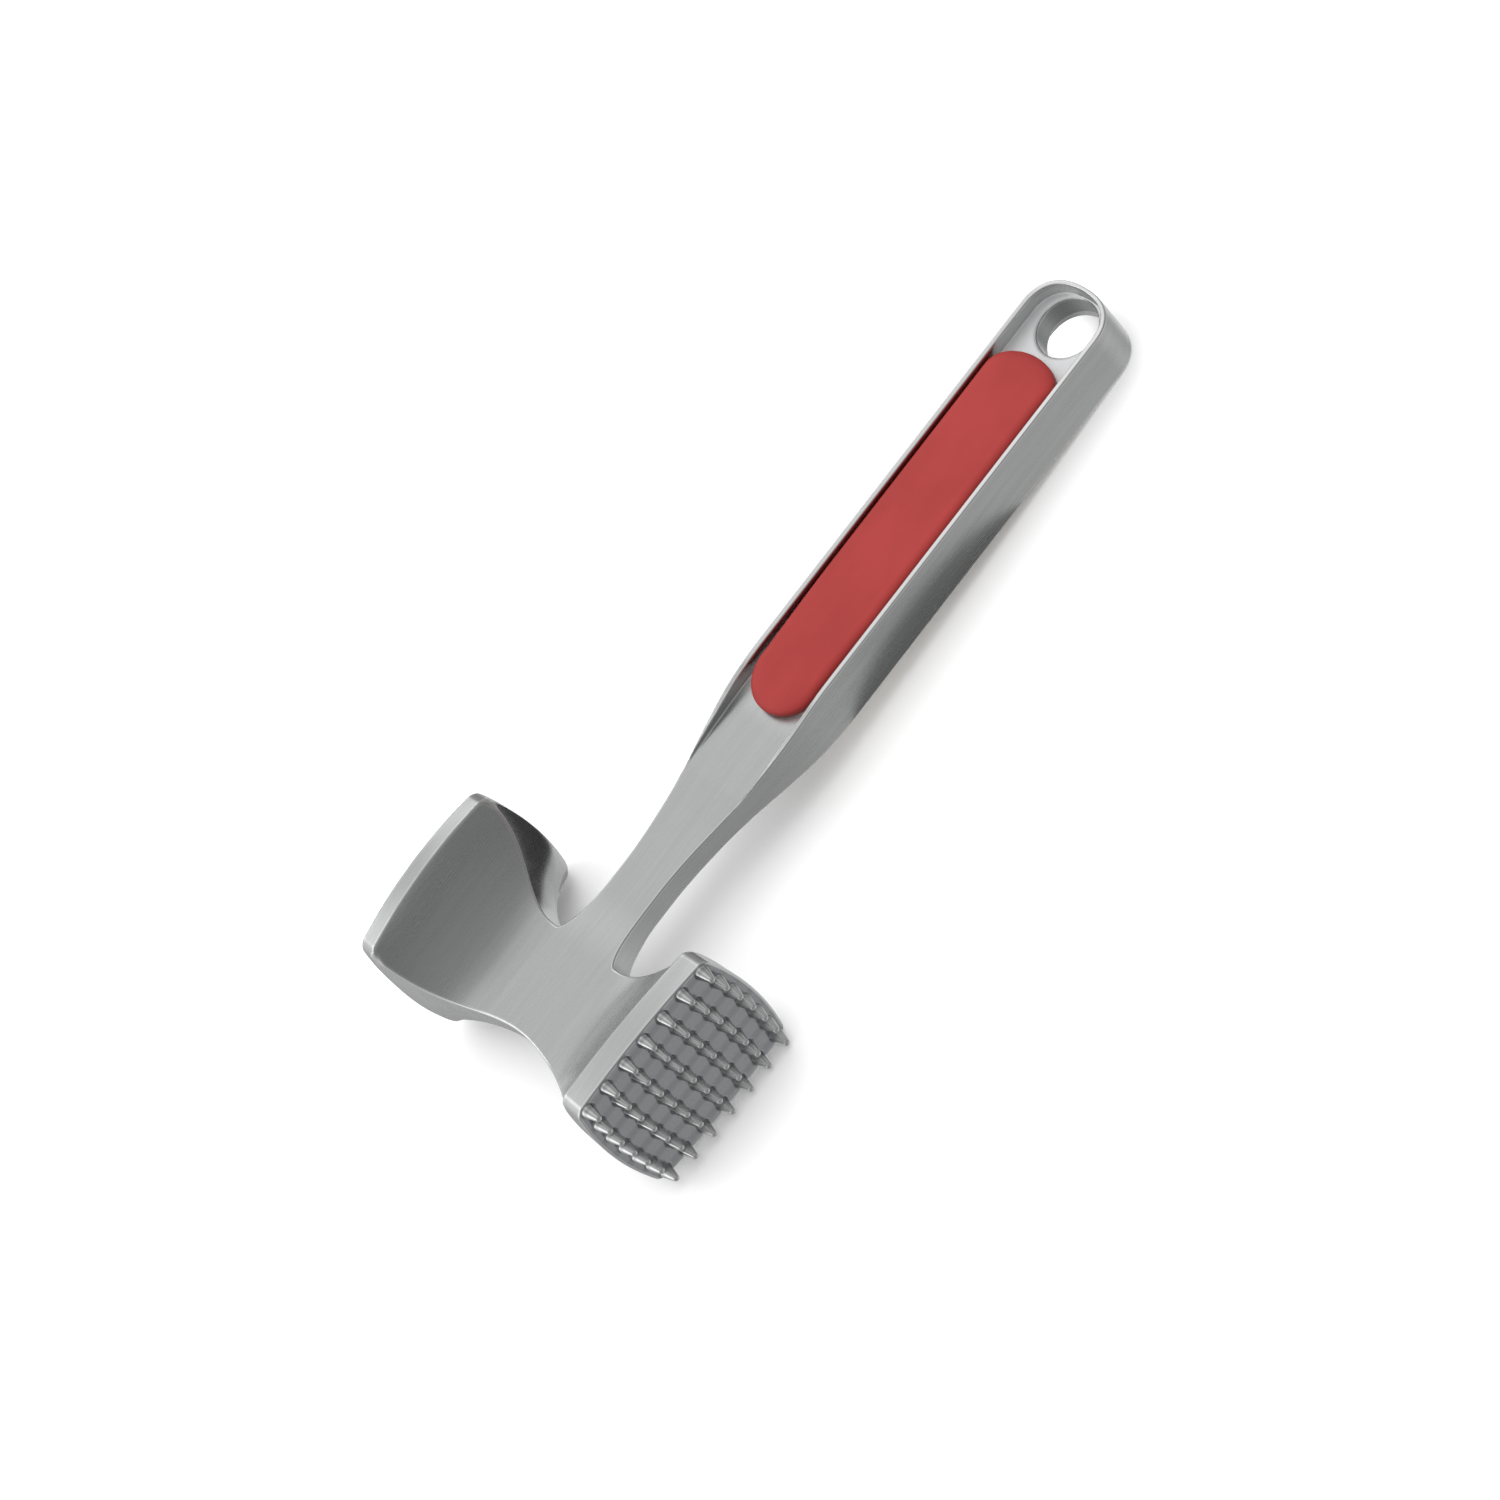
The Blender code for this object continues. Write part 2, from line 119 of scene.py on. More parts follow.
# Mesh
TEETH_MARGIN = 4.0               # the teeth only matter from this far below the face
CHANNEL_MARGIN = 2.0             # and the channels from this far before they start
HEAD_ROWS_END_Y = 32.0
HANDLE_MARGIN = 2.0
SAMPLE_PARTS = 8
FINE, MIDDLING, COARSE, LONG = 0.3, 0.35, 0.8, 1.6     # grid steps
GRID_X, GRID_Y, GRID_Z = (-48.2, 53.6), (-29.0, 227.0), 27.2
SLOPE_REACH = 0.01
STEP_LIMIT = 0.4
SURFACE_ROUNDS = 2
RELAX_ROUNDS = 2


# ---------------------------------------------------------------- the casting as a formula

def ramp(value, start, end):
    """0 before start, 1 after end, and a smooth rise between them."""
    t = np.clip((value - start) / (end - start), 0.0, 1.0)
    return t * t * (3.0 - 2.0 * t)


def ramp_slope(value, start, end):
    t = np.clip((value - start) / (end - start), 0.0, 1.0)
    return 6.0 * t * (1.0 - t) / (end - start)


def round_max(a, b, radius):
    """What is inside both a and b, with the edge between them rounded."""
    u = np.maximum(a + radius, 0.0)
    v = np.maximum(b + radius, 0.0)
    return np.minimum(np.maximum(a, b), -radius) + np.sqrt(u * u + v * v)


def round_min(a, b, radius):
    """What is inside a or b, with a fillet between them."""
    return -round_max(-a, -b, radius)


def rounded_end(ax, y, half_width, length):
    """Distance from a bar of this half width, whose end at the butt is a superellipse this long."""
    n = BUTT_EXPONENT
    u = ax / half_width
    v = np.maximum(y - (BUTT_END_Y - BUTT_ROUND_LENGTH), 0.0) / length
    size = np.maximum(u ** n + v ** n, 1e-9) ** (1.0 / n)
    slope = size ** (1.0 - n) * np.hypot(u ** (n - 1.0) / half_width, v ** (n - 1.0) / length)
    return (size - 1.0) / np.maximum(slope, 0.3 / half_width)


def long_fillet(neck, head):
    """Joins the neck's side to the head with a quarter of an ellipse."""
    u = np.maximum(1.0 - neck / NECK_FILLET_WIDTH, 0.0)
    v = np.maximum(1.0 - head / NECK_FILLET_LENGTH, 0.0)
    size = np.hypot(u, v)
    slope = np.hypot(u / NECK_FILLET_WIDTH, v / NECK_FILLET_LENGTH) / np.maximum(size, 1e-9)
    return (1.0 - size) / np.maximum(slope, 1.0 / NECK_FILLET_LENGTH)


def handle_half_width(y):
    return NECK_HALF_WIDTH + (HANDLE_HALF_WIDTH - NECK_HALF_WIDTH) * ramp(y, *WIDTH_FLARE_Y)


def rim_width(y):
    return RIM_START_WIDTH + (RIM_WIDTH - RIM_START_WIDTH) * ramp(y, *RIM_FADE_Y)


def head_and_neck(x, y, z):
    """The solid before its channels, hole and teeth."""
    ax, az = np.abs(x), np.abs(z)
    end = {key: np.where(x > 0.0, TOOTH_END[key], FLAT_END[key]) for key in TOOTH_END}
    band = end["band"]
    s = ax                           # distance out along the head, leaning with its band
    for _ in range(2):
        s = ax - BAND_SLOPE * ramp(s, FLARE_START_X, band) * y
    share = ramp(s, FLARE_START_X, band)
    taper = end["taper"] * np.clip((s - band) / (end["face"] - band), 0.0, 1.0)

    lower = LOWER_WAIST_Y + (end["y"] - LOWER_WAIST_Y) * ramp(s, 0.0, band) + taper
    lower_slope = (end["y"] - LOWER_WAIST_Y) * ramp_slope(s, 0.0, band)
    t = np.clip((s - FLARE_START_X) / (band - FLARE_START_X), 1e-6, 1.0)
    p = t ** UPPER_FLARE_POWER
    upper = UPPER_WAIST_Y + (end["y"] - UPPER_WAIST_Y) * p * p * (3.0 - 2.0 * p) + taper
    upper_slope = (end["y"] - UPPER_WAIST_Y) * 6.0 * p * (1.0 - p) * UPPER_FLARE_POWER * (p / t)
    upper_slope = upper_slope / (band - FLARE_START_X)

    run = band - FLARE_START_X
    height = end["z"] - WAIST_HALF_DEPTH
    radius = (run * run + height * height) / (2.0 * height)
    along = np.clip(s - FLARE_START_X, 0.0, run)
    drop = np.sqrt(radius * radius - along * along)
    rise_slope = along / drop
    rise = radius - drop
    corner_z = WAIST_HALF_DEPTH + rise
    rise = rise + rise_slope * np.maximum(s - band, 0.0)

    across = (y - (upper - lower) / 2.0) / ((upper + lower) / 2.0)
    up = z / corner_z
    bulge_y = end["bulge_y"] * share * np.maximum(1.0 - up * up, BULGE_LIMIT)
    bulge_z = end["bulge_z"] * share * np.maximum(1.0 - across * across, BULGE_LIMIT)

    below = (-y - lower - bulge_y) / np.sqrt(1.0 + lower_slope ** 2)
    above = (y - upper - bulge_y) / np.sqrt(1.0 + upper_slope ** 2)
    neck = rounded_end(ax, y, handle_half_width(y), BUTT_ROUND_LENGTH)
    plan = np.maximum(long_fillet(neck, above), below)

    thins_end = FLARE_START_X + NECK_THINS_REACH
    thins = ramp(y, *NECK_THINS_Y) * (1.0 - ramp(ax, FLARE_START_X, thins_end))
    depth = WAIST_HALF_DEPTH - (WAIST_HALF_DEPTH - NECK_HALF_DEPTH) * thins
    depth = depth + (HANDLE_HALF_DEPTH - NECK_HALF_DEPTH) * ramp(y, *DEPTH_FLARE_Y)
    on_head = 1.0 - ramp(y, *HEAD_ENDS_Y)
    flare = az - depth - (rise + bulge_z) * on_head
    flare = flare / np.sqrt(1.0 + (rise_slope * on_head) ** 2)
    top = az - end["z"] - taper - bulge_z
    thickness = round_max(flare, top, CREASE_RADIUS)

    edge_radius = EDGE_RADIUS + (CORNER_RADIUS - EDGE_RADIUS) * ramp(s - band, *CORNER_FADE)
    field = round_max(plan, thickness, edge_radius)
    return round_max(field, ax - end["face"] - FACE_SLOPE * y, FACE_EDGE_RADIUS)


def teeth(x, y, z):
    """Distance from the nearest tooth, a blunt cone with a round tip."""
    reach = TOOTH_REACH
    column = np.clip(np.rint(z / TOOTH_PITCH_Z), -reach, reach)
    bowed = TOOTH_PITCH_Y * (1.0 + ROW_BOW * (1.0 - (column / reach) ** 2))
    row = np.clip(np.rint(y / bowed), -reach, reach)
    centre_y = row * bowed
    centre_z = column * TOOTH_PITCH_Z * (1.0 + COLUMN_BOW * (1.0 - (row / reach) ** 2))
    out = np.hypot(y - centre_y, z - centre_z)
    along = x - TOOTH_END["face"] - FACE_SLOPE * centre_y
    height = TOOTH_LENGTH - TOOTH_TIP_RADIUS
    b = (TOOTH_BASE_RADIUS - TOOTH_TIP_RADIUS) / height
    a = math.sqrt(1.0 - b * b)
    k = a * along - b * out
    side = a * out + b * along - TOOTH_BASE_RADIUS
    root = np.hypot(out, along) - TOOTH_BASE_RADIUS
    tip = np.hypot(out, along - height) - TOOTH_TIP_RADIUS
    return np.where(k < 0.0, root, np.where(k > a * height, tip, side))


def channel(ax, y, az):
    """Negative inside the channels on both sides of the handle."""
    half_width = handle_half_width(y) - rim_width(y)
    plan = rounded_end(ax, y, half_width, BUTT_ROUND_LENGTH - BUTT_RIM_WIDTH)
    plan = np.maximum(plan, CHANNEL_START_Y - y)
    return round_max(plan, FLOOR_Z - az, FLOOR_FILLET)


def hole(x, y, az):
    """Negative inside the hanging hole and the chamfers at its two mouths."""
    out = np.hypot(x, y - HOLE_CENTRE_Y)
    bore = out - HOLE_RADIUS
    cone = (bore - HOLE_CHAMFER + FLOOR_Z - az) * math.sqrt(0.5)
    return np.minimum(bore, np.maximum(cone, bore - HOLE_CHAMFER))


def casting_field(x, y, z):
    """About the distance in mm from the casting's surface, negative inside."""
    field = head_and_neck(x, y, z)
    at_teeth = x > TOOTH_END["face"] - TEETH_MARGIN
    field[at_teeth] = round_min(
        field[at_teeth], teeth(x[at_teeth], y[at_teeth], z[at_teeth]), TOOTH_FILLET)
    at_handle = y > CHANNEL_START_Y - CHANNEL_MARGIN
    ax, hy, az = np.abs(x[at_handle]), y[at_handle], np.abs(z[at_handle])
    cut = round_max(field[at_handle], -channel(ax, hy, az), RIM_EDGE_RADIUS)
    field[at_handle] = round_max(cut, -hole(ax, hy, az), CHAMFER_EDGE_RADIUS)
    return field


# ---------------------------------------------------------------- from the formula to a mesh

def grid_lines(*spans):
    """Coordinates along one axis, from (start, end, step) spans that follow each other."""
    parts = []
    for start, end, step in spans:
        count = max(round((end - start) / step), 1)
        parts.append(np.linspace(start, end, count, endpoint=False))
    parts.append([spans[-1][1]])
    return np.concatenate(parts)


def sample(lines):
    """The field on the whole grid, worked out only where the mallet can be."""
    xs, ys, zs = lines
    values = np.ones([len(a) for a in lines], np.float32)
    head_rows = np.flatnonzero(ys <= HEAD_ROWS_END_Y)
    handle_rows = np.flatnonzero(ys > HEAD_ROWS_END_Y)
    handle_x = np.flatnonzero(np.abs(xs) < HANDLE_HALF_WIDTH + HANDLE_MARGIN)
    handle_z = np.flatnonzero(np.abs(zs) < HANDLE_HALF_DEPTH + HANDLE_MARGIN)
    for rows, across, through in ((head_rows, np.arange(len(xs)), np.arange(len(zs))),
                                  (handle_rows, handle_x, handle_z)):
        for part in np.array_split(rows, SAMPLE_PARTS):
            x, y, z = np.meshgrid(xs[across], ys[part], zs[through], indexing="ij")
            values[np.ix_(across, part, through)] = casting_field(x, y, z)
    return values


def surface_net(lines, values):
    """Points and quads of the surface where values change sign, a point in each cell it crosses."""
    solid = values < 0.0
    counts = np.zeros([n - 1 for n in solid.shape], np.uint8)
    for corner in np.ndindex(2, 2, 2):
        counts += solid[tuple(slice(c, c + n) for c, n in zip(corner, counts.shape))]
    active = (counts > 0) & (counts < 8)
    cells = np.argwhere(active)
    ids = np.full(active.shape, -1, np.int64)
    ids[active] = np.arange(len(cells))

    points = np.zeros((len(cells), 3))
    crossings = np.zeros(len(cells))
    for axis in range(3):
        step = np.eye(3, dtype=int)[axis]
        for offset in np.ndindex(2, 2):
            start = cells + np.insert(offset, axis, 0)
            a = values[tuple(start.T)].astype(float)
            b = values[tuple((start + step).T)].astype(float)
            crossed = (a < 0.0) != (b < 0.0)
            share = np.where(crossed, a / np.where(crossed, a - b, 1.0), 0.0)
            for i in range(3):
                low = lines[i][start[:, i]]
                high = lines[i][start[:, i] + step[i]]
                points[:, i] += np.where(crossed, low + share * (high - low), 0.0)
            crossings += crossed
    points /= crossings[:, None]

    quads = []
    for axis in range(3):
        b, c = (axis + 1) % 3, (axis + 2) % 3
        here = [slice(None)] * 3
        ahead = [slice(None)] * 3
        here[axis] = slice(None, -1)
        ahead[axis] = slice(1, None)
        leaving = solid[tuple(here)] & ~solid[tuple(ahead)]
        entering = ~solid[tuple(here)] & solid[tuple(ahead)]
        for edges, order in ((leaving, (0, 1, 2, 3)), (entering, (3, 2, 1, 0))):
            nodes = np.argwhere(edges)
            ring = []
            for step_b, step_c in ((-1, -1), (0, -1), (0, 0), (-1, 0)):
                cell = nodes.copy()
                cell[:, b] += step_b
                cell[:, c] += step_c
                ring.append(ids[tuple(cell.T)])
            quads.append(np.stack([ring[i] for i in order], axis=1))
    return points, np.concatenate(quads)


def slope_at(points):
    """Gradient of the field, by central differences."""
    slope = np.empty_like(points)
    for axis in range(3):
        ahead, behind = points.copy(), points.copy()
        ahead[:, axis] += SLOPE_REACH
        behind[:, axis] -= SLOPE_REACH
        rise = casting_field(*ahead.T) - casting_field(*behind.T)
        slope[:, axis] = rise / (2.0 * SLOPE_REACH)
    return slope


def onto_surface(points):
    """Moves each point along the slope of the field, to where the field is 0."""
    for _ in range(SURFACE_ROUNDS):
        value = casting_field(*points.T)
        slope = slope_at(points)
        step = value / np.maximum(np.sum(slope * slope, axis=1), 0.05)
        points = points - np.clip(step, -STEP_LIMIT, STEP_LIMIT)[:, None] * slope
    return points


def relax(points, quads):
    """Moves each point half way to the middle of its neighbours."""
    total = np.zeros_like(points)
    count = np.zeros(len(points))
    for i in range(4):
        here, there = quads[:, i], quads[:, (i + 1) % 4]
        for a, b in ((here, there), (there, here)):
            count += np.bincount(a, minlength=len(points))
            for axis in range(3):
                total[:, axis] += np.bincount(a, points[b, axis], minlength=len(points))
    return 0.5 * (points + total / count[:, None])


def convexity(points, quads, normals):
    """How sharply the surface bends at each point, in 1/mm: above 0 on edges, below in corners."""
    total = np.zeros(len(points))
    count = np.zeros(len(points))
    for i in range(4):
        here, there = quads[:, i], quads[:, (i + 1) % 4]
        gap = points[there] - points[here]
        length = np.maximum(np.sum(gap * gap, axis=1), 1e-4)
        bend = np.sum((normals[there] - normals[here]) * gap, axis=1) / length
        for ends in (here, there):
            total += np.bincount(ends, bend, minlength=len(points))
            count += np.bincount(ends, minlength=len(points))
    return total / count


def mesh_object(name, points, faces, normals=None):
    """A smooth object from points in mm and faces that all have the same number of corners."""
    mesh = bpy.data.meshes.new(name)
    corners = faces.shape[1]
    mesh.vertices.add(len(points))
    mesh.loops.add(faces.size)
    mesh.polygons.add(len(faces))
    mesh.vertices.foreach_set("co", (points / TO_MM).astype(np.float32).ravel())
    mesh.loops.foreach_set("vertex_index", faces.astype(np.int32).ravel())
    mesh.polygons.foreach_set("loop_start", np.arange(0, faces.size, corners, dtype=np.int32))
    mesh.update(calc_edges=True)
    mesh.validate()
    mesh.shade_smooth()
    if normals is not None:
        mesh.normals_split_custom_set_from_vertices(normals)
    obj = bpy.data.objects.new(name, mesh)
    obj.location = HEAD_MIDDLE
    bpy.context.scene.collection.objects.link(obj)
    return obj


def make_casting():
    """The casting's mesh, on a grid that is finest at the teeth, the edges and the hole."""
    handle_x = HANDLE_HALF_WIDTH + 1.0
    handle_z = HANDLE_HALF_DEPTH + 0.8
    lines = (
        grid_lines((GRID_X[0], -40.0, 0.5), (-40.0, -handle_x, COARSE), (-handle_x, handle_x, FINE),
                   (handle_x, 37.0, COARSE), (37.0, 44.0, 0.45), (44.0, GRID_X[1], FINE)),
        grid_lines((GRID_Y[0], 29.0, MIDDLING), (29.0, 100.0, COARSE), (100.0, 198.0, LONG),
                   (198.0, GRID_Y[1], FINE)),
        grid_lines((-GRID_Z, -handle_z, MIDDLING), (-handle_z, handle_z, FINE),
                   (handle_z, GRID_Z, MIDDLING)),
    )
    points, quads = surface_net(lines, sample(lines))
    points = onto_surface(points)
    for _ in range(RELAX_ROUNDS):
        points = onto_surface(relax(points, quads))
    normals = slope_at(points)
    normals /= np.linalg.norm(normals, axis=1)[:, None]
    casting = mesh_object("cast_body", points, quads, normals)
    bend = casting.data.attributes.new("convexity", "FLOAT", "POINT")
    bend.data.foreach_set("value", convexity(points, quads, normals).astype(np.float32))
    return casting


# ---------------------------------------------------------------- inlays

INLAY_HALF_WIDTH = (INLAY_HIGH.x - INLAY_LOW.x) / 2.0 * TO_MM
INLAY_START_Y = INLAY_LOW.y * TO_MM
INLAY_END_Y = INLAY_HIGH.y * TO_MM
INLAY_BASE_Z = INLAY_LOW.z * TO_MM
INLAY_TOP_Z = INLAY_HIGH.z * TO_MM
INLAY_HEAD_REACH = 10.6
INLAY_HOLE_REACH = 7.5
INLAY_SIDE_RADIUS = 2.4
INLAY_END_ROLL = 7.0
INLAY_TAPER = 0.9                # how much narrower the pad is on each side at its head end
INLAY_TAPER_Y = (85.0, 130.0)
OUTLINE_STEPS = 48
SIDE_STEPS = 60
ROLL_STEPS = 14
CROWN_STEPS = 8
CROWN = 0.12
CROWN_END_REACH = 4.0            # how far the crown's rings draw in at the two ends


def pad_outline(inset_side, inset_end):
    """Closed outline of the pad: two elliptical ends and two long sides, drawn in by the insets."""
    half = INLAY_HALF_WIDTH - inset_side
    hole_reach = max(INLAY_HOLE_REACH - inset_end / 2.0, 0.5)
    head_reach = max(INLAY_HEAD_REACH - inset_end / 2.0, 0.5)
    hole_centre = INLAY_END_Y - inset_end - hole_reach
    head_centre = INLAY_START_Y + inset_end + head_reach
    turn = np.linspace(0.0, np.pi, OUTLINE_STEPS, endpoint=False)
    run = np.linspace(0.0, 1.0, SIDE_STEPS, endpoint=False)
    x = np.concatenate([half * np.cos(turn), np.full(SIDE_STEPS, -half),
                        -half * np.cos(turn), np.full(SIDE_STEPS, half)])
    y = np.concatenate([hole_centre + hole_reach * np.sin(turn),
                        hole_centre + (head_centre - hole_centre) * run,
                        head_centre - head_reach * np.sin(turn),
                        head_centre + (hole_centre - head_centre) * run])
    narrower = INLAY_TAPER * (1.0 - ramp(y, *INLAY_TAPER_Y))
    x = x * (1.0 - narrower / INLAY_HALF_WIDTH)
    return x, y


def make_pad(name, side):
    """A soft pad whose edge rolls over: tight along its sides, long at its two ends."""
    height = INLAY_TOP_Z - INLAY_BASE_Z
    rings = [(0.0, 0.0, 0.0)]
    for angle in np.linspace(0.0, np.pi / 2.0, ROLL_STEPS):
        turn = 1.0 - math.cos(angle)
        lift = height - CROWN - INLAY_SIDE_RADIUS * (1.0 - math.sin(angle))
        rings.append((INLAY_SIDE_RADIUS * turn, INLAY_END_ROLL * turn, lift))
    flat = INLAY_HALF_WIDTH - INLAY_SIDE_RADIUS
    for i in range(1, CROWN_STEPS + 1):
        part = i / (CROWN_STEPS + 0.1)
        rings.append((INLAY_SIDE_RADIUS + flat * part, INLAY_END_ROLL + CROWN_END_REACH * part,
                      height - CROWN * (1.0 - part) ** 2))
    levels = []
    for inset_side, inset_end, lift in rings:
        x, y = pad_outline(inset_side, inset_end)
        levels.append(np.stack([x, y, np.full(len(x), side * (INLAY_BASE_Z + lift))], axis=1))
    count = len(levels[0])
    points = np.concatenate(levels)
    here = np.arange(count)
    there = (here + 1) % count
    walls = []
    for level in range(len(levels) - 1):
        low = level * count
        high = low + count
        walls.append(np.stack([low + here, low + there, high + there, high + here], axis=1))
    caps = []
    half = count // 2
    for start, flip in ((0, True), (len(points) - count, False)):
        for i in range(half - 1):
            j = (OUTLINE_STEPS // 2 + 1 + i) % count
            j_next = (j + 1) % count
            k = (OUTLINE_STEPS // 2 - i) % count
            k_next = (k - 1) % count
            quad = [start + j, start + j_next, start + k_next, start + k]
            caps.append(quad[::-1] if flip else quad)
    faces = np.concatenate(walls + [np.array(caps)])
    if side < 0.0:
        faces = faces[:, ::-1]
    return mesh_object(name, points, faces)


# ---------------------------------------------------------------- materials

METAL_COLOR = (0.60, 0.612, 0.605)
POLISHED_COLOR = (0.83, 0.835, 0.83)
# painted shade: the dark colour laid into corners, tooth bases, the hole's wall and the cones'
# outlines
PAINTED_SHADE_COLOR = (0.20, 0.205, 0.21)
TOOTH_FACE_COLOR = (0.50, 0.512, 0.53)
CHANNEL_COLOR = (0.93, 0.94, 0.95)
# painted light: the flare near the toothed end is a lighter copy of the metal
LIT_FLARE_COLOR = (0.95, 0.96, 0.955)
# painted light: the cones are a lighter copy of the metal
LIT_CONE_COLOR = (0.80, 0.81, 0.805)
RED_COLOR = (0.36, 0.035, 0.032)
RED_DARK_COLOR = (0.31, 0.028, 0.026)
FILM_COLOR = (0.75, 0.73, 0.66)
FILM_DARK_COLOR = (0.62, 0.59, 0.50)
WHITE = (1.0, 1.0, 1.0, 1.0)
BLACK = (0.0, 0.0, 0.0, 1.0)

# Where each finish and each painted shade or light of the casting begins and is complete, in metres
# unless the name says mm
GROUND_FROM_FACE_MM = (-0.55, -0.05)
CONES_FROM_FACE_MM = (0.25, 0.75)
# where the painted shade around the tooth bases ends
FEET_END_FROM_FACE_MM = (1.15, 2.15)
# the ground gets a painted reflection of the teeth: darker stripes along each column
COLUMN_SHADE = (-0.2, 1.0)       # of a cosine that is 1 on each column of teeth
HANDLE_Y = (0.082, 0.100)
CHANNEL_X = (0.0125, 0.0121)
CHANNEL_Z = (0.0052, 0.0045)
FACING_SHARE = (0.35, 0.75)      # how squarely a surface has to face +Z or -Z to be a channel floor
RIM_INSET_MM = (0.35, 0.10)
HOLE_WALL_MM = (0.3, 0.1)
FLARE_X = (0.014, 0.021)
FLARE_Y = (0.030, 0.026)
FLARE_END_X = (0.0385, 0.0375)
WORN_BEND = (0.07, 0.4)          # convexity in 1/mm
# convexity over which the painted shade in concave corners fades in
SHADED_CORNER_BEND = (-0.8, -2.4)
# facing values over which the painted dark outlines of the cones fade in
GRAZING_SHADE = (0.20, 0.62)


class Material:
    """A Principled material whose inputs come from small chains of nodes, in object coordinates."""

    def __init__(self, name):
        self.material = bpy.data.materials.new(name)
        self.material.use_nodes = True
        self.nodes = self.material.node_tree.nodes
        self.links = self.material.node_tree.links
        self.shader = self.nodes["Principled BSDF"]
        self.place = self.nodes.new("ShaderNodeTexCoord").outputs["Object"]

    def feed(self, socket, value):
        """Sets an input from a number, a colour or another node's output."""
        if isinstance(value, bpy.types.NodeSocket):
            self.links.new(value, socket)
        elif isinstance(value, tuple) and len(value) == 3 and socket.type == "RGBA":
            socket.default_value = (*value, 1.0)
        else:
            socket.default_value = value

    def math(self, operation, a, b=0.0):
        """The result of one Math node."""
        node = self.nodes.new("ShaderNodeMath")
        node.operation = operation
        self.feed(node.inputs[0], a)
        self.feed(node.inputs[1], b)
        return node.outputs[0]

    def product(self, first, *others):
        for other in others:
            first = self.math("MULTIPLY", first, other)
        return first

    def absolute(self, value):
        return self.math("ABSOLUTE", value)

    def rest(self, share):
        """What a share leaves over."""
        return self.math("SUBTRACT", 1.0, share)

    def parts(self, vector):
        """The x, y and z of a vector."""
        node = self.nodes.new("ShaderNodeSeparateXYZ")
        self.feed(node.inputs[0], vector)
        return node.outputs[0], node.outputs[1], node.outputs[2]

    def noise(self, scale, detail=2.0, rough=0.5):
        """Noise between 0 and 1 whose grains are 1/scale metres, with one scale for each axis."""
        stretch = self.nodes.new("ShaderNodeVectorMath")
        stretch.operation = "MULTIPLY"
        self.feed(stretch.inputs[0], self.place)
        stretch.inputs[1].default_value = scale
        node = self.nodes.new("ShaderNodeTexNoise")
        node.inputs["Scale"].default_value = 1.0
        node.inputs["Detail"].default_value = detail
        node.inputs["Roughness"].default_value = rough
        self.feed(node.inputs["Vector"], stretch.outputs[0])
        return node.outputs["Fac"]

    def blend(self, share, a, b):
        """Colour a where share is 0 and b where it is 1."""
        node = self.nodes.new("ShaderNodeMix")
        node.data_type = "RGBA"
        self.feed(node.inputs["Factor"], share)
        self.feed(node.inputs["A"], a)
        self.feed(node.inputs["B"], b)
        return node.outputs["Result"]

    def spread(self, value, low, high, to_low=0.0, to_high=1.0):
        """Maps low..high to to_low..to_high, and holds the ends."""
        node = self.nodes.new("ShaderNodeMapRange")
        node.interpolation_type = "SMOOTHSTEP"
        names = ("From Min", "From Max", "To Min", "To Max")
        for name, number in zip(names, (low, high, to_low, to_high)):
            node.inputs[name].default_value = number
        self.feed(node.inputs["Value"], value)
        return node.outputs["Result"]

    def bump(self, height, distance, below=None):
        """A bump of this many metres, on top of another bump."""
        node = self.nodes.new("ShaderNodeBump")
        node.inputs["Distance"].default_value = distance
        self.feed(node.inputs["Height"], height)
        if below is not None:
            self.links.new(below, node.inputs["Normal"])
        return node.outputs["Normal"]


def shades(color, share):
    return tuple(share * c for c in color)


def metal_zones(m):
    """Which finish, painted shade or painted light each place of the casting has, as shares from 0
    to 1.
    """
    x, y, z = m.parts(m.place)
    face_x = m.math("SUBTRACT", x, m.product(y, FACE_SLOPE))

    def from_face(reach):
        return m.spread(face_x, *((TOOTH_END["face"] + r) / TO_MM for r in reach))

    handle = m.spread(y, *HANDLE_Y)
    rim_z = ((HANDLE_HALF_DEPTH - inset) / TO_MM for inset in RIM_INSET_MM)
    hole_y = m.math("SUBTRACT", y, HOLE_CENTRE_Y / TO_MM)
    from_hole = m.math("SQRT", m.math("ADD", m.math("POWER", x, 2.0), m.math("POWER", hole_y, 2.0)))
    hole_wall = m.spread(from_hole, *((HOLE_RADIUS + reach) / TO_MM for reach in HOLE_WALL_MM))
    normal = m.nodes.new("ShaderNodeNewGeometry").outputs["Normal"]
    facing_z = m.spread(m.absolute(m.parts(normal)[2]), *FACING_SHARE)
    in_channel = m.product(m.spread(m.absolute(x), *CHANNEL_X), m.spread(m.absolute(z), *CHANNEL_Z))
    columns = m.math("COSINE", m.product(z, 2.0 * math.pi * TO_MM / TOOTH_PITCH_Z))
    cones = from_face(CONES_FROM_FACE_MM)
    return {
        "teeth": from_face(GROUND_FROM_FACE_MM),
        "columns": m.spread(columns, *COLUMN_SHADE),
        "cones": cones,
        # painted shade around the tooth bases
        "tooth_base_shade": m.math("SUBTRACT", cones, from_face(FEET_END_FROM_FACE_MM)),
        "rim": m.product(m.spread(m.absolute(z), *rim_z), handle),
        "hole": hole_wall,
        "floor": m.product(in_channel, facing_z, handle, m.rest(hole_wall)),
        "flare": m.product(m.spread(x, *FLARE_X), m.spread(y, *FLARE_Y), m.spread(x, *FLARE_END_X)),
    }


